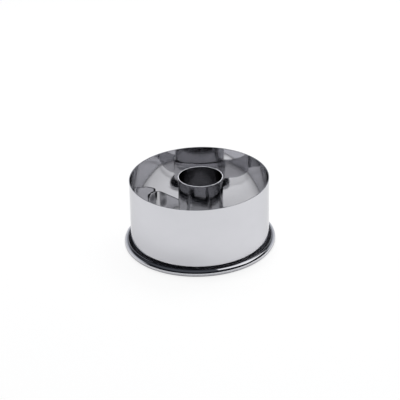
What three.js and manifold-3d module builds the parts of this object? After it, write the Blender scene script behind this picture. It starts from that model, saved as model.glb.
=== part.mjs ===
// Doughnut cutter of polished stainless sheet, standing on its rolled rims with its cutting edges up.
// An outer ring cuts the round and a tube in its middle cuts the hole. Two strips on edge hold the tube:
// each comes in from the ring, passes part of the way round the tube and goes out to the ring again,
// and is spot-welded to both.
// Millimetres, +Z up. The origin is on the ring's axis, in the plane that the rolled rims stand on.
// The photographed view looks along +Y, so bearings are measured from +Y, clockwise from above.

import * as THREE from 'three';
import { mergeVertices } from 'three/addons/utils/BufferGeometryUtils.js';
import Module from 'manifold-3d';

// Outer ring
const CUTTER_HEIGHT = 45.4; // standing plane to the cutting edge
const RING_DIAMETER = 88.9; // outside of the wall, which is the size of the round it cuts
const RING_SHEET = 0.5;
const RING_BEAD = 4.6; // outside diameter of the rolled rim's section

// Centre tube, as tall as the ring and a little off its axis
const TUBE_DIAMETER = 28.6; // outside of the wall, which is the size of the hole it cuts
const TUBE_SHEET = 0.5;
const TUBE_BEAD = 4.0;
const TUBE_RIGHT = 0.9; // ring's axis to the tube's axis, along X
const TUBE_BACK = 1.65; // and along Y

// Rolled rims
const ROLL_GAP = 0.35; // raw end of the roll to the wall that it curls back to
const FOOT_HALF_ANGLE = 10; // degrees to each side of a bead's lowest point that are pressed flat

// Bracket strips
const STRIP_SHEET = 0.6;
const STRIP_WIDTH = 13.9; // height of the strip, which stands on edge
const STRIP_LIFT = 5.7; // standing plane to the strip's lower edge
const WEB_OFFSET = 5; // how far a web's middle plane passes from the ring's axis, to its strip's middle
const RING_BEND = 3.4; // bend radius at the middle of the sheet, beside the ring
const TUBE_BEND = 1.2; // bend radius at the middle of the sheet, beside the tube
const RING_TAB = 5.2; // length of the tab on the ring past its bend
const TAB_CORNER = 2.4; // radius of the corners at the tabs' free ends
const WELD_GAP = 0.3; // strip to the wall that it is welded to
const WEB_BEARINGS = { bracket_back: [-45.5, 79], bracket_front: [134, 243.5] }; // degrees, each strip's webs

// Fineness of the round forms
const RING_SEGMENTS = 80;
const TUBE_SEGMENTS = 56;
const CORNER_SEGMENTS = 5;
const BEND_STEP = 18; // degrees
const WRAP_STEP = 6.5;
const TAB_STEP = 2.3;

const radians = THREE.MathUtils.degToRad;
const degrees = THREE.MathUtils.radToDeg;
const ringRadius = RING_DIAMETER / 2;
const tubeRadius = TUBE_DIAMETER / 2;

const wasm = await Module();
wasm.setup();

// Closed geometry to solid, with its shared corners merged
function toSolid(geometry) {
  const bare = geometry.clone();
  bare.deleteAttribute('normal');
  bare.deleteAttribute('uv');
  const merged = mergeVertices(bare, 1e-4);
  const mesh = new wasm.Mesh({
    numProp: 3,
    vertProperties: new Float32Array(merged.attributes.position.array),
    triVerts: new Uint32Array(merged.index.array),
  });
  return new wasm.Manifold(mesh);
}

function toGeometry(solid) {
  const mesh = solid.getMesh();
  const geometry = new THREE.BufferGeometry();
  geometry.setAttribute('position', new THREE.BufferAttribute(new Float32Array(mesh.vertProperties), 3));
  geometry.setIndex(new THREE.BufferAttribute(new Uint32Array(mesh.triVerts), 1));
  geometry.computeVertexNormals();
  return geometry;
}

// Points on a circle, at even steps over a turn in degrees
function circlePoints(centre, radius, from, to, step) {
  const count = Math.ceil(Math.abs(to - from) / step - 1e-6);
  const points = [];
  for (let i = 0; i <= count; i += 1) {
    const angle = radians(i === count ? to : from + Math.sign(to - from) * step * i);
    points.push(new THREE.Vector2(centre.x + radius * Math.cos(angle), centre.y + radius * Math.sin(angle)));
  }
  return points;
}

// Section of a sheet wall whose foot is rolled outward, up and back to the wall.
// The wall's inner face runs on as the outside of the bead, so one circle serves both.
function rolledWallSection(outerRadius, sheet, bead, height) {
  const innerRadius = outerRadius - sheet;
  const beadRadius = bead / 2;
  const step = 2 * FOOT_HALF_ANGLE;
  const footHeight = beadRadius * Math.cos(radians(FOOT_HALF_ANGLE));
  const centre = new THREE.Vector2(innerRadius + beadRadius, footHeight);
  const rawEnd = degrees(Math.acos((sheet + ROLL_GAP) / beadRadius - 1));
  const section = [
    new THREE.Vector2(outerRadius, height),
    new THREE.Vector2(innerRadius, height),
    ...circlePoints(centre, beadRadius, 180, 360 + rawEnd, step),
    ...circlePoints(centre, beadRadius - sheet, 180, 360 + rawEnd, step).reverse(),
  ];
  section.push(section[0].clone());
  return section;
}

// A wall of revolution about the Z axis
function rolledWall(outerRadius, sheet, bead, segments) {
  const section = rolledWallSection(outerRadius, sheet, bead, CUTTER_HEIGHT);
  const geometry = new THREE.LatheGeometry(section, segments);
  geometry.rotateX(Math.PI / 2);
  return geometry;
}

// The strips' middle lines in plan: round the tube, and along the ring's wall
const halfSheet = STRIP_SHEET / 2;
const tubeAxis = new THREE.Vector2(TUBE_RIGHT, TUBE_BACK);
const tubeLine = tubeRadius + WELD_GAP + halfSheet;
const ringLine = ringRadius - RING_SHEET - WELD_GAP - halfSheet;

// One end of a strip: tab on the ring, bend, web, and the bend where it meets the tube.
// Worked out on local axes: x out along the web, y across to the strip's middle, on the side given by hand.
// Both faces follow the same middle line, off it by half a sheet to each side.
function stripEnd(bearing, hand) {
  const out = new THREE.Vector2(Math.sin(radians(bearing)), Math.cos(radians(bearing)));
  const across = new THREE.Vector2(out.y, -out.x).multiplyScalar(hand);
  const axis = new THREE.Vector2(tubeAxis.dot(out), tubeAxis.dot(across));

  const tubeBend = new THREE.Vector2(0, WEB_OFFSET + TUBE_BEND);
  tubeBend.x = axis.x + Math.sqrt((tubeLine + TUBE_BEND) ** 2 - (tubeBend.y - axis.y) ** 2);
  const meets = degrees(Math.atan2(tubeBend.y - axis.y, tubeBend.x - axis.x));

  const ringBend = new THREE.Vector2(0, WEB_OFFSET - RING_BEND);
  ringBend.x = Math.sqrt((ringLine - RING_BEND) ** 2 - ringBend.y ** 2);
  const leaves = degrees(Math.atan2(ringBend.y, ringBend.x));
  const free = leaves - degrees(RING_TAB / ringLine);

  const face = (off) => {
    const local = [
      ...circlePoints(new THREE.Vector2(), ringLine + off, free, leaves, TAB_STEP),
      ...circlePoints(ringBend, RING_BEND + off, leaves, 90, BEND_STEP).slice(1),
      ...circlePoints(tubeBend, TUBE_BEND - off, -90, meets - 180, BEND_STEP),
    ];
    return local.map((point) => out.clone().multiplyScalar(point.x).addScaledVector(across, point.y));
  };
  return { face, meets: 90 - bearing - hand * meets, free: 90 - bearing - hand * free };
}

// What a rounded corner takes off: the square at the corner less a quarter of a disc
function cornerWaste() {
  const past = TAB_CORNER / 2;
  const depth = 4 * TAB_CORNER;
  const outline = new THREE.Shape();
  outline.moveTo(-past, -past);
  outline.lineTo(TAB_CORNER, -past);
  outline.lineTo(TAB_CORNER, 0);
  outline.absarc(TAB_CORNER, TAB_CORNER, TAB_CORNER, -Math.PI / 2, -Math.PI, true);
  outline.lineTo(-past, TAB_CORNER);
  outline.closePath();
  const geometry = new THREE.ExtrudeGeometry(outline, {
    depth,
    bevelEnabled: false,
    curveSegments: CORNER_SEGMENTS,
  });
  geometry.translate(0, 0, -depth / 2);
  return geometry;
}

// The two corners at a tab's free end: inward is +1 where the strip runs on counter-clockwise
function tabEndWaste(angle, inward) {
  const end = new THREE.Vector3(Math.cos(radians(angle)), Math.sin(radians(angle)), 0);
  const along = new THREE.Vector3(-end.y, end.x, 0).multiplyScalar(inward);
  const foot = end.clone().multiplyScalar(ringLine);
  const wastes = [];
  for (const upward of [1, -1]) {
    const rise = new THREE.Vector3(0, 0, upward);
    const through = new THREE.Vector3().crossVectors(along, rise);
    const place = new THREE.Matrix4().makeBasis(along, rise, through);
    place.setPosition(foot.x, foot.y, upward > 0 ? STRIP_LIFT : STRIP_LIFT + STRIP_WIDTH);
    wastes.push(toSolid(cornerWaste().applyMatrix4(place)));
  }
  return wastes;
}

function bracket(firstBearing, lastBearing) {
  const first = stripEnd(firstBearing, 1);
  const last = stripEnd(lastBearing, -1);
  const face = (off) => [
    ...first.face(off),
    ...circlePoints(tubeAxis, tubeLine + off, first.meets, last.meets, WRAP_STEP).slice(1, -1),
    ...last.face(off).reverse(),
  ];
  const plan = new THREE.Shape([...face(halfSheet), ...face(-halfSheet).reverse()]);
  const blank = new THREE.ExtrudeGeometry(plan, { depth: STRIP_WIDTH, bevelEnabled: false });
  blank.translate(0, 0, STRIP_LIFT);
  let solid = toSolid(blank);
  for (const waste of [...tabEndWaste(first.free, -1), ...tabEndWaste(last.free, 1)]) {
    solid = solid.subtract(waste);
  }
  return toGeometry(solid);
}

function steel(color, roughness) {
  return new THREE.MeshStandardMaterial({ color, roughness, metalness: 1 });
}

const cutter = new THREE.Group();

const ringWall = rolledWall(ringRadius, RING_SHEET, RING_BEAD, RING_SEGMENTS);
const ring = new THREE.Mesh(ringWall, steel(0xc9cbce, 0.08));
ring.name = 'cutting_ring';
cutter.add(ring);

const tubeWall = rolledWall(tubeRadius, TUBE_SHEET, TUBE_BEAD, TUBE_SEGMENTS);
const tube = new THREE.Mesh(tubeWall, steel(0xbfc1c5, 0.1));
tube.name = 'centre_tube';
tube.position.set(TUBE_RIGHT, TUBE_BACK, 0);
cutter.add(tube);

for (const [name, bearings] of Object.entries(WEB_BEARINGS)) {
  const mesh = new THREE.Mesh(bracket(...bearings), steel(0xb4b6ba, 0.16));
  mesh.name = name;
  cutter.add(mesh);
}

export default cutter;
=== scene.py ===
"""Doughnut cutter of polished stainless sheet: its looks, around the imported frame.

Lengths are written in millimetres and go into the meshes in metres, in the frame of the solids.
Bearings are measured from +Y, clockwise from above; the photographed view looks along +Y.
"""

import math

import bpy
import numpy as np
from mathutils import Matrix, Vector


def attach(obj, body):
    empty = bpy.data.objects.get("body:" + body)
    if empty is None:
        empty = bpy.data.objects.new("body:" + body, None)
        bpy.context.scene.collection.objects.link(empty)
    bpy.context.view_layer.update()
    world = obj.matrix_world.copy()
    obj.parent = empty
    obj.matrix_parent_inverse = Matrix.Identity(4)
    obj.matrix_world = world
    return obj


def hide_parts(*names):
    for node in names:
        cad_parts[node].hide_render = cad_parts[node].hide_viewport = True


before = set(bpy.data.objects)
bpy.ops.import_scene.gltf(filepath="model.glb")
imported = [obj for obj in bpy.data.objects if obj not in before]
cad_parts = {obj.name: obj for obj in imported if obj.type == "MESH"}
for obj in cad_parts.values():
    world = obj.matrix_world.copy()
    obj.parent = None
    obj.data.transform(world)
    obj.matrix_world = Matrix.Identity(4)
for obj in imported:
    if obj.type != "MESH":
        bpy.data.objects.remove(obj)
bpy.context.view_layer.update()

MM = 0.001  # metres in a millimetre
MAP_UNIT = 100.0  # millimetres of sheet in one unit of a piece's UV map

# Sizes of the solids, repeated here because this script reads nothing but the frame
HEIGHT = 45.4
RING_RADIUS = 44.45
RING_SHEET = 0.5
RING_BEAD = 4.6
TUBE_RADIUS = 14.3
TUBE_SHEET = 0.5
TUBE_BEAD = 4.0
TUBE_AT = (0.9, 1.65)
FOOT_HALF_ANGLE = 10.0
STRIP_SHEET = 0.6
STRIP_WIDTH = 13.9
STRIP_LIFT = 5.7
WEB_OFFSET = 5.0
WEB_BEARINGS = {"bracket_back": (-45.5, 79.0), "bracket_front": (134.0, 243.5)}
RING_BEND = 3.4
TUBE_BEND = 1.2
RING_TAB = 5.2
TAB_CORNER = 2.4
WELD_GAP = 0.3
TUBE_LINE = TUBE_RADIUS + WELD_GAP + STRIP_SHEET / 2
RING_LINE = RING_RADIUS - RING_SHEET - WELD_GAP - STRIP_SHEET / 2

# Details that only the looks have
ROLL_GAP = 1.5  # raw end of a curl to its wall, where the solids have 0.35
EDGE_ROUND = 0.08  # radius of the small rounds on a cutting edge
STRIP_EASE = 0.12  # chamfer along a strip's edges
WELD_RADIUS = 1.25
WELD_DEPTH = 0.07
WELD_INSET = 3.4  # strip's edge to the middle of a spot weld
WELD_PLACE = 0.62  # where on a ring tab its welds are, as a share of the tab from its free end
TAB_SHADE_RADIUS = 2.6  # radius of the painted shade around a weld
SPRUNG = 0.49  # how far the ring's radius is out of round

# Fineness of the surfaces: numbers of points, and steps in degrees
RING_SEGMENTS = 320
TUBE_SEGMENTS = 192
WALL_POINTS = 24
WEB_POINTS = 26
FACE_POINTS = 44
EDGE_STEP = 15
BEAD_STEP = 5
HOLLOW_STEP = 6
TAB_STEP = 0.35
BEND_STEP = 5
WRAP_STEP = 1.0
SHARP_ANGLE = 40

# Stainless sheet: sizes of its patterns along and across the sheet, in millimetres
BUFFING_LINES = (40.0, 0.351)  # coarser than real ones, so that they show
BUFFING_PATCHES = (16.67, 11.11)
SHEET_WAVES = (16.67, 25.0)
BUFFING_DEPTH = 0.0004
GRAZING_TINT = "#e8e8e8"
UNBUFFED_ROUGHNESS = 0.5
# Painted highlight on the tube's cutting edge: pale, rough and barely metallic, so that it shows bright under
# the overhead light that the steel does not mirror
RIM_HIGHLIGHT_PALE = "#e8e9ee"
RIM_HIGHLIGHT_ROUGHNESS = 0.45
RIM_HIGHLIGHT_METALLIC = 0.2
# Painted shade: the dark tone laid around the welds on the ring tabs, standing in for the shaded card they
# mirror
TAB_SHADE_TONE = "#4a4b50"

# Card and room: the shares of plain white that camera and steel see on the card, and the room's colours
CARD_REACH = 2.5  # metres
CARD_WHITE = "#f0f0f0"
CARD_TO_CAMERA = 0.85
CARD_TO_STEEL = 0.2
ROOM_DARK = "#1f2126"
ROOM_ABOVE = "#56595f"
WALL_BEHIND = "#dfe2e8"
ABOVE_FADE = (0.55, 0.95)  # heights of a unit direction between which the room gets lighter overhead
WALL_FADE = (0.62, 0.28)  # heights between which, going down, the pale wall comes in
WALL_WAY = (-0.26, 0.97, 0)  # level direction of the middle of that wall
WALL_SIDES = (0.05, 0.4)  # cosines of the angle from there between which it comes in

# Camera, fitted to the rim and bead of the photograph: lengths in millimetres, angles in degrees
CAMERA_DOWN = 27.91
CAMERA_DISTANCE = 1201.6
CAMERA_ROLL = -1.04
CUTTER_MIDDLE = 22.76  # height on the ring's axis that the line of sight passes through
CAMERA_ASIDE = (0.24, 5.89)  # how far right of and above the cutter's middle the frame's middle is
FOCAL_PIXELS = 1878.1
FRAME_PIXELS = 400
SENSOR_WIDTH = 36
CLIP_START = 0.01  # metres
LIGHT_AIM = (0, 0, 0.02)  # metres


def turn(centre, radius, start, end, step):
    """Points on a circle: centre plus radius times cosine and sine of angles from start to end in degrees."""
    count = max(2, int(abs(end - start) / step) + 1)
    angle = np.radians(np.linspace(start, end, count))
    return np.stack([centre[0] + radius * np.cos(angle), centre[1] + radius * np.sin(angle)], -1)


def straight(start, end, count):
    """Points shared out evenly on the line from start to end."""
    share = np.linspace(0, 1, count)[:, None]
    return np.asarray(start) * (1 - share) + np.asarray(end) * share


def length_along(path):
    """Length run so far at each point of a path: the running sum of the distances between its points."""
    return np.concatenate([[0], np.cumsum(np.linalg.norm(np.diff(path, axis=0), axis=1))])


def rolled_wall_profile(radius, sheet, bead):
    """Closed section (radius, height) of a sheet wall whose foot is rolled outward, up and back to the wall.

    The inner face runs down and on round one circle, the bead; the outer face is the same line, a sheet's
    thickness away. The curl's raw end stops a gap short of the wall. What the circle has below the standing
    plane is pressed flat on it. The cutting edge is cut square, with small rounds. Also returns which points
    are on the hollow side of the curl.
    """
    inner = radius - sheet
    half = bead / 2
    centre = (inner + half, half * math.cos(math.radians(FOOT_HALF_ANGLE)))
    raw_end = 360 + math.degrees(math.acos((sheet + ROLL_GAP) / half - 1))
    ease = EDGE_ROUND
    top, foot = HEIGHT - 2 * ease, centre[1] + ease
    hollow = turn(centre, half - sheet, raw_end, 180, HOLLOW_STEP)
    parts = [
        turn((radius - ease, HEIGHT - ease), ease, 0, 90, EDGE_STEP),
        turn((inner + ease, HEIGHT - ease), ease, 90, 180, EDGE_STEP),
        straight((inner, top), (inner, foot), WALL_POINTS),
        turn(centre, half, 180, raw_end, BEAD_STEP),
        hollow,
        straight((radius, foot), (radius, top), WALL_POINTS),
    ]
    profile = np.concatenate(parts)
    profile[:, 1] = np.maximum(profile[:, 1], 0)
    in_hollow = np.concatenate([np.full(len(part), part is hollow) for part in parts])
    return profile, in_hollow


def sprung(points):
    """The cutter as handled, a little out of round.

    Radii grow by SPRUNG times the sine of twice the bearing at the ring's wall, and inside it by that times
    the cube of the radius as a share of the wall's, so the tube stays round.
    """
    share = 1 + 2 * SPRUNG * points[:, 0] * points[:, 1] / RING_RADIUS**3
    return np.concatenate([points[:, :2] * share[:, None], points[:, 2:]], 1)


def put_mesh(name, points, faces, uv, material):
    """A smooth mesh from whole arrays: points and one (u, v) for each, in millimetres, and quads."""
    mesh = bpy.data.meshes.new(name)
    mesh.from_pydata((sprung(points) * MM).tolist(), [], faces.tolist())
    layer = mesh.uv_layers.new(name="sheet")
    corner = np.zeros(len(mesh.loops), np.int32)
    mesh.loops.foreach_get("vertex_index", corner)
    layer.data.foreach_set("uv", (uv[corner] / MAP_UNIT).astype(np.float32).ravel())
    mesh.polygons.foreach_set("use_smooth", np.ones(len(mesh.polygons), bool))
    mesh.set_sharp_from_angle(angle=math.radians(SHARP_ANGLE))
    mesh.validate()
    mesh.update()
    mesh.materials.append(material)
    piece = bpy.data.objects.new(name, mesh)
    bpy.context.scene.collection.objects.link(piece)
    return piece


def mark(piece, name, values):
    """A named number at each of a piece's points, for its material to read."""
    layer = piece.data.attributes.new(name, "FLOAT", "POINT")
    layer.data.foreach_set("value", values.astype(np.float32).ravel())


def grid_faces(rows, columns, close_rows, close_columns):
    """Quads of a grid of points numbered row by row: a point, the one in the next row, and their neighbours.

    Where a direction closes, its last points are joined to its first.
    """
    row = np.arange(rows if close_rows else rows - 1)[:, None]
    column = np.arange(columns if close_columns else columns - 1)[None, :]
    next_row, next_column = (row + 1) % rows, (column + 1) % columns
    corners = [
        row * columns + column,
        next_row * columns + column,
        next_row * columns + next_column,
        row * columns + next_column,
    ]
    return np.stack([np.broadcast_to(c, (row.size, column.size)) for c in corners], -1).reshape(-1, 4)


def rolled_wall(name, radius, sheet, bead, at, segments, material):
    """A wall of revolution: x and y are the profile's radius times sine and cosine of a turn, z its height.

    Its axis stands at a place in plan. u is the way round on the wall's radius, v the way along the profile.
    The hollow side of the curl is marked as unbuffed.
    """
    profile, in_hollow = rolled_wall_profile(radius, sheet, bead)
    angle = np.linspace(0, 2 * math.pi, segments, endpoint=False)
    reach = profile[None, :, 0]
    x = at[0] + reach * np.sin(angle)[:, None]
    y = at[1] + reach * np.cos(angle)[:, None]
    z = np.broadcast_to(profile[None, :, 1], x.shape)
    points = np.stack([x, y, z], -1).reshape(-1, 3)
    u = np.broadcast_to(radius * angle[:, None], x.shape)
    v = np.broadcast_to(length_along(profile)[None, :], x.shape)
    uv = np.stack([u, v], -1).reshape(-1, 2)
    faces = grid_faces(segments, len(profile), True, True)
    piece = put_mesh(name, points, faces, uv, material)
    mark(piece, "unbuffed", np.tile(in_hollow, segments))
    return piece


def half_strip(bearing, hand):
    """One end of a strip in plan: ring tab, bend, web and the bend at the tube, as points in the frame.

    Worked out on local axes, out along the web and across towards the strip's middle (hand gives the side).
    Each stretch is an arc or a line that starts where the last one ends, in the same direction. Also returns
    the bearing, seen from the tube's axis, where the strip meets the tube.
    """
    out = np.array([math.sin(math.radians(bearing)), math.cos(math.radians(bearing))])
    across = hand * np.array([out[1], -out[0]])
    at_x, at_y = np.dot(TUBE_AT, out), np.dot(TUBE_AT, across)
    tube_y = WEB_OFFSET + TUBE_BEND
    tube_x = at_x + math.sqrt((TUBE_LINE + TUBE_BEND) ** 2 - (tube_y - at_y) ** 2)
    meets = math.degrees(math.atan2(tube_y - at_y, tube_x - at_x))
    ring_y = WEB_OFFSET - RING_BEND
    ring_x = math.sqrt((RING_LINE - RING_BEND) ** 2 - ring_y**2)
    leaves = math.degrees(math.atan2(ring_y, ring_x))
    free = leaves - math.degrees(RING_TAB / RING_LINE)
    stretches = [
        turn((0, 0), RING_LINE, free, leaves, TAB_STEP),
        turn((ring_x, ring_y), RING_BEND, leaves, 90, BEND_STEP)[1:],
        straight((ring_x, WEB_OFFSET), (tube_x, WEB_OFFSET), WEB_POINTS)[1:],
        turn((tube_x, tube_y), TUBE_BEND, -90, meets - 180, BEND_STEP)[1:],
    ]
    local = np.concatenate(stretches)
    return local[:, :1] * out + local[:, 1:] * across, bearing + hand * meets


def strip_path(first, last):
    """Middle line of a strip in plan: in from the ring, round the tube and out to the ring again.

    Returns points, the normals to their left, and the length run so far.
    """
    inward, start = half_strip(first, 1)
    outward, end = half_strip(last, -1)
    round_tube = turn((0, 0), TUBE_LINE, start, end, WRAP_STEP)[:, ::-1] + TUBE_AT
    path = np.concatenate([inward, round_tube[1:-1], outward[::-1]])
    along = length_along(path)
    heading = np.gradient(path, along, axis=0)
    heading /= np.linalg.norm(heading, axis=1)[:, None]
    left = np.stack([-heading[:, 1], heading[:, 0]], -1)
    return path, left, along


def weld_dent(along, height, spots):
    """How far a face is pressed in: a flat-bottomed round dent with a soft edge for each spot weld.

    A dent is the weld's depth over one plus the sixth power of the distance in weld radii.
    """
    reaches = [np.hypot(along - where, height - level) / WELD_RADIUS for where, level in spots]
    return sum(WELD_DEPTH / (1 + reach**6) for reach in reaches)


def painted_tab_shade(along, height, spots):
    """Painted shade on the strip: 1 at each spot weld given, fading softly around it.

    It stands in for the shaded card that the ring tabs mirror. A weld gives one over one plus the fourth
    power of the distance in shade radii, and the sum stops at 1.
    """
    reaches = [np.hypot(along - where, height - level) / TAB_SHADE_RADIUS for where, level in spots]
    return np.clip(sum(1 / (1 + reach**4) for reach in reaches), 0, 1)


def bracket(name, bearings, material):
    """A strip on edge: the middle line in plan, half a sheet to each side, between lower and upper edges.

    Near its two ends the edges follow quarter circles, which rounds the tabs' corners. The sheet's own edges
    are eased. Spot welds leave two dents on each tab's free face, with painted shade around them, and two
    where the strip passes round the tube. Each end is closed by a row of quads between its two faces.
    """
    path, left, along = strip_path(*bearings)
    length = along[-1]
    from_end = np.minimum(along, length - along)
    short = np.clip(TAB_CORNER - from_end, 0, TAB_CORNER)
    corner = TAB_CORNER - np.sqrt(TAB_CORNER**2 - short**2)
    low = (STRIP_LIFT + corner)[:, None]
    high = (STRIP_LIFT + STRIP_WIDTH - corner)[:, None]
    share = np.linspace(0, 1, FACE_POINTS)[None, :]
    face = (low + STRIP_EASE) * (1 - share) + (high - STRIP_EASE) * share

    levels = (STRIP_LIFT + WELD_INSET, STRIP_LIFT + STRIP_WIDTH - WELD_INSET)
    tabs = (RING_TAB * WELD_PLACE, length - RING_TAB * WELD_PLACE)
    tube_spots = [(length / 2, level) for level in levels]
    ring_spots = [(where, level) for where in tabs for level in levels]
    half = STRIP_SHEET / 2
    run = along[:, None]
    left_out = half - weld_dent(run, face, tube_spots)
    right_out = half - weld_dent(run, face, ring_spots)
    eased = np.full_like(low, half - STRIP_EASE)
    off = np.concatenate([-eased, -right_out, -eased, eased, left_out[:, ::-1], eased], 1)
    z = np.concatenate([low, face, high, high, face[:, ::-1], low], 1)
    plan = path[:, None, :] + left[:, None, :] * off[..., None]
    points = np.concatenate([plan, z[..., None]], -1).reshape(-1, 3)

    rows, columns = z.shape
    sides = grid_faces(rows, columns, False, True)[:, ::-1]
    rung = np.arange(columns // 2 - 1)
    cap = np.stack([rung, rung + 1, columns - 2 - rung, columns - 1 - rung], -1)
    faces = np.concatenate([sides, cap[:, ::-1], cap + (rows - 1) * columns])
    uv = np.stack([np.broadcast_to(run, z.shape), z], -1).reshape(-1, 2)
    piece = put_mesh(name, points, faces, uv, material)
    # Painted shade around the ring tabs' welds, for the material to darken the sheet with
    mark(piece, "painted_tab_shade", painted_tab_shade(run, z, ring_spots))
    return piece


def linear(code):
    """An sRGB colour written as hex, as linear red, green, blue and alpha.

    The sRGB curve is a straight line near black and a power of 2.4 above it.
    """
    parts = np.array([int(code[i : i + 2], 16) for i in (1, 3, 5)]) / 255
    parts = np.where(parts <= 0.04045, parts / 12.92, ((parts + 0.055) / 1.055) ** 2.4)
    return (*parts.tolist(), 1.0)


def map_scale(sizes):
    """Scale of a pattern on the UV map: the map's unit over its size in millimetres, along and across."""
    return (MAP_UNIT / sizes[0], MAP_UNIT / sizes[1], 1.0)


def add(tree, kind, values=None, links=None, **settings):
    """One shader node with its settings, socket values and incoming links."""
    node = tree.nodes.new("ShaderNode" + kind)
    for key, value in settings.items():
        setattr(node, key, value)
    for socket, value in (values or {}).items():
        node.inputs[socket].default_value = value
    for socket, source in (links or {}).items():
        tree.links.new(source, node.inputs[socket])
    return node


def new_material(name):
    """A node material with nothing in it, and its node tree."""
    material = bpy.data.materials.new(name)
    material.use_nodes = True
    material.node_tree.nodes.clear()
    return material, material.node_tree


def polished_stainless(name, pale, dull, haze, ripple, rim_highlight=0.0, shade_strength=0.0, rolled=False):
    """Stainless sheet buffed to a mirror.

    It gives the eye a clear, slightly grey image of whatever stands around it, very fine buffing lines that
    run the way the sheet was rolled, and a sheet that is not quite flat, so that straight images waver. Haze
    is the roughness between the lines and on them, and ripple the height of the waves in millimetres. The rim
    highlight, as wide as given in millimetres from v = 0, is a painted highlight: a pale, rough, barely
    metallic line along the cutting edge that stands in for the edge's reflection of the overhead light. Shade
    strength is how strongly painted shade darkens the sheet around the marked spot welds, where the sheet
    mirrors shaded card. On a rolled piece the hollow of the curl, which no buffing wheel reaches, is dull.
    """
    material, tree = new_material(name)
    place = add(tree, "TexCoord").outputs["UV"]
    lines_at = add(tree, "Mapping", {"Scale": map_scale(BUFFING_LINES)}, {"Vector": place}).outputs[0]
    lines = add(tree, "TexNoise", {"Scale": 1.0, "Detail": 3.0, "Roughness": 0.6}, {"Vector": lines_at})
    patch_at = add(tree, "Mapping", {"Scale": map_scale(BUFFING_PATCHES)}, {"Vector": place}).outputs[0]
    patch = add(tree, "TexNoise", {"Scale": 1.0, "Detail": 2.0}, {"Vector": patch_at}).outputs["Fac"]
    tones = {"Color1": linear(dull), "Color2": linear(pale)}
    colour = add(tree, "MixRGB", tones, {"Fac": patch}).outputs[0]
    hazes = {"To Min": haze[0], "To Max": haze[1]}
    rough = add(tree, "MapRange", hazes, {"Value": lines.outputs["Fac"]}).outputs[0]
    metal = {}
    # Painted highlight: a pale, rough, barely metallic line along the cutting edge, standing in for the
    # edge's reflection of the overhead light
    if rim_highlight:
        v = add(tree, "SeparateXYZ", links={0: place}).outputs["Y"]
        rim = add(tree, "Math", {1: rim_highlight / MAP_UNIT}, {0: v}, operation="LESS_THAN").outputs[0]
        cut = {"Color2": linear(RIM_HIGHLIGHT_PALE)}
        colour = add(tree, "MixRGB", cut, {"Fac": rim, "Color1": colour}).outputs[0]
        matt = {"To Max": RIM_HIGHLIGHT_ROUGHNESS}
        rough = add(tree, "MapRange", matt, {"Value": rim, "To Min": rough}).outputs[0]
        scatter = {"To Min": 1.0, "To Max": RIM_HIGHLIGHT_METALLIC}
        metal["Metallic"] = add(tree, "MapRange", scatter, {"Value": rim}).outputs[0]
    # Painted shade: darkens the sheet around the ring tabs' welds, standing in for the shaded card they
    # mirror
    if shade_strength:
        shade_mask = add(tree, "Attribute", attribute_name="painted_tab_shade").outputs["Fac"]
        shade_share = add(tree, "Math", {1: shade_strength}, {0: shade_mask}, operation="MULTIPLY").outputs[0]
        shade_mix = {"Color2": linear(TAB_SHADE_TONE)}
        colour = add(tree, "MixRGB", shade_mix, {"Fac": shade_share, "Color1": colour}).outputs[0]
    if rolled:
        raw = add(tree, "Attribute", attribute_name="unbuffed").outputs["Fac"]
        matt = {"To Max": UNBUFFED_ROUGHNESS}
        rough = add(tree, "MapRange", matt, {"Value": raw, "To Min": rough}).outputs[0]
    wave_at = add(tree, "Mapping", {"Scale": map_scale(SHEET_WAVES)}, {"Vector": place}).outputs[0]
    wave = add(tree, "TexNoise", {"Scale": 1.0, "Detail": 1.0}, {"Vector": wave_at}).outputs["Fac"]
    waved = add(tree, "Bump", {"Strength": 1.0, "Distance": ripple * MM}, {"Height": wave})
    lined = add(
        tree, "Bump", {"Strength": 1.0, "Distance": BUFFING_DEPTH * MM},
        {"Height": lines.outputs["Fac"], "Normal": waved.outputs[0]},
    )
    steel = add(
        tree, "BsdfPrincipled", {"Metallic": 1.0, "Specular Tint": linear(GRAZING_TINT)},
        {"Base Color": colour, "Roughness": rough, "Normal": lined.outputs[0], **metal},
    )
    add(tree, "OutputMaterial", links={"Surface": steel.outputs[0]})
    return material


def white_sweep(name):
    """Smooth white card under the cutter: matt, white to the camera and in the steel, with a soft shadow."""
    material, tree = new_material(name)
    card = add(tree, "BsdfDiffuse", {"Color": linear(CARD_WHITE)})
    glow = add(tree, "Emission", {"Color": linear("#ffffff"), "Strength": 1.0})
    ray = add(tree, "LightPath")
    seen = add(tree, "Math", {1: CARD_TO_CAMERA}, {0: ray.outputs["Is Camera Ray"]}, operation="MULTIPLY")
    mirrored = add(
        tree, "Math", {1: CARD_TO_STEEL}, {0: ray.outputs["Is Glossy Ray"], 2: seen.outputs[0]},
        operation="MULTIPLY_ADD",
    )
    floor = add(tree, "MixShader", links={0: mirrored.outputs[0], 1: card.outputs[0], 2: glow.outputs[0]})
    add(tree, "OutputMaterial", links={"Surface": floor.outputs[0]})
    return material


def flat_card(name, material):
    """A level square in the standing plane, centred under the cutter."""
    r = CARD_REACH
    mesh = bpy.data.meshes.new(name)
    mesh.from_pydata([(-r, -r, 0), (r, -r, 0), (r, r, 0), (-r, r, 0)], [], [(0, 1, 2, 3)])
    mesh.materials.append(material)
    card = bpy.data.objects.new(name, mesh)
    bpy.context.scene.collection.objects.link(card)
    return card


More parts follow.
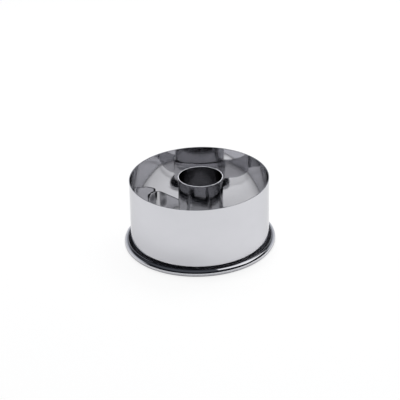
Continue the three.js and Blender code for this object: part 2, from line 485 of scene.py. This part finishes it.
def dim_studio(name):
    """Surroundings: a dark room, a little lighter overhead, and a pale wall low down behind the cutter."""
    world = bpy.data.worlds.new(name)
    world.use_nodes = True
    tree = world.node_tree
    tree.nodes.clear()
    way = add(tree, "TexCoord").outputs["Generated"]
    height = add(tree, "SeparateXYZ", links={0: way}).outputs["Z"]
    facing = add(tree, "VectorMath", {1: WALL_WAY}, {0: way}, operation="DOT_PRODUCT").outputs["Value"]
    fades = []
    for (start, end), value in ((ABOVE_FADE, height), (WALL_FADE, height), (WALL_SIDES, facing)):
        span = {"From Min": start, "From Max": end}
        fade = add(tree, "MapRange", span, {"Value": value}, interpolation_type="SMOOTHSTEP")
        fades.append(fade.outputs[0])
    above, low, behind = fades
    rooms = {"Color1": linear(ROOM_DARK), "Color2": linear(ROOM_ABOVE)}
    room = add(tree, "MixRGB", rooms, {"Fac": above}).outputs[0]
    wall = add(tree, "Math", links={0: low, 1: behind}, operation="MULTIPLY").outputs[0]
    around = add(tree, "MixRGB", {"Color2": linear(WALL_BEHIND)}, {"Fac": wall, "Color1": room})
    sky = add(tree, "Background", {"Strength": 1.0}, {"Color": around.outputs[0]})
    add(tree, "OutputWorld", links={"Surface": sky.outputs[0]})
    return world


def softbox(name, place, width, height, power, mirrored):
    """A rectangular soft light at a place in metres, turned to the cutter; steel shows it if mirrored."""
    light = bpy.data.lights.new(name, "AREA")
    light.shape = "RECTANGLE"
    light.size, light.size_y = width, height
    light.energy = power
    lamp = bpy.data.objects.new(name, light)
    lamp.location = place
    lamp.visible_glossy = mirrored
    lamp.rotation_euler = (Vector(LIGHT_AIM) - Vector(place)).to_track_quat("-Z", "Y").to_euler()
    bpy.context.scene.collection.objects.link(lamp)


def studio_camera(name):
    """The photographed view: from the front and above, rolled, and aimed a little off the cutter's middle.

    The eye is the distance back along the line of sight through the cutter's middle. The aim is a point aside
    of the middle on the rolled axes, and the camera's own axes are cross products of the way there and the
    rolled upward axis.
    """
    down = math.radians(CAMERA_DOWN)
    roll = math.radians(CAMERA_ROLL)
    ahead = np.array([0, math.cos(down), -math.sin(down)])
    level = np.array([1.0, 0, 0])
    upward = np.cross(level, ahead)
    eye = np.array([0, 0, CUTTER_MIDDLE]) - ahead * CAMERA_DISTANCE
    rolled_right = level * math.cos(roll) + upward * math.sin(roll)
    rolled_up = -level * math.sin(roll) + upward * math.cos(roll)
    look = ahead * CAMERA_DISTANCE + rolled_right * CAMERA_ASIDE[0] + rolled_up * CAMERA_ASIDE[1]
    look /= np.linalg.norm(look)
    right = np.cross(look, rolled_up)
    right /= np.linalg.norm(right)
    head = np.cross(right, look)
    lens = bpy.data.cameras.new(name)
    lens.sensor_fit = "HORIZONTAL"
    lens.sensor_width = SENSOR_WIDTH
    lens.lens = FOCAL_PIXELS / FRAME_PIXELS * SENSOR_WIDTH
    lens.clip_start = CLIP_START
    camera = bpy.data.objects.new(name, lens)
    axes = np.stack([right, head, -look, eye * MM], -1)
    camera.matrix_world = Matrix([*axes.tolist(), [0, 0, 0, 1]])
    bpy.context.scene.collection.objects.link(camera)
    return camera


# Steels: the ring's and the tube's mirror-buffed sheet, and the strips' bright rolled stock
ring_steel = polished_stainless(
    "mirror_buffed_stainless_ring", pale="#d0d0d4", dull="#cacace", haze=(0.035, 0.075), ripple=0.006,
    rolled=True,
)
# The tube's cutting edge carries a painted highlight, a pale matt line 0.4 mm wide
tube_steel = polished_stainless(
    "mirror_buffed_stainless_tube", pale="#a9a9ac", dull="#a1a1a4", haze=(0.045, 0.09), ripple=0.006,
    rim_highlight=0.4, rolled=True,
)
# The strips carry painted shade around the welds on their ring tabs
strip_steel = polished_stainless(
    "bright_rolled_stainless_strip", pale="#c0c0c3", dull="#b8b8bb", haze=(0.06, 0.11), ripple=0.003,
    shade_strength=0.8,
)

# The four pieces, each in place of its solid
ring = rolled_wall("ring_wall", RING_RADIUS, RING_SHEET, RING_BEAD, (0, 0), RING_SEGMENTS, ring_steel)
tube = rolled_wall("tube_wall", TUBE_RADIUS, TUBE_SHEET, TUBE_BEAD, TUBE_AT, TUBE_SEGMENTS, tube_steel)
pieces = {"cutting_ring": ring, "centre_tube": tube}
for node, bearings in WEB_BEARINGS.items():
    pieces[node] = bracket(node + "_strip", bearings, strip_steel)

for node, piece in pieces.items():
    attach(piece, "root")
    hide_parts(node)

# Card, surroundings, lights and camera: lights in metres and watts
floor = flat_card("white_card", white_sweep("matt_white_card"))
scene = bpy.context.scene
scene.world = dim_studio("dim_studio")
softbox("right_softbox", (0.58, 0.155, 0.92), width=0.9, height=0.8, power=2.8, mirrored=True)
softbox("overhead_light", (-0.04, 0.09, 1.2), width=0.25, height=0.4, power=10, mirrored=False)
softbox("back_light", (0.17, 0.58, 1.03), width=0.9, height=0.5, power=5, mirrored=False)
scene.camera = studio_camera("studio_camera")
scene.view_settings.view_transform = "Standard"
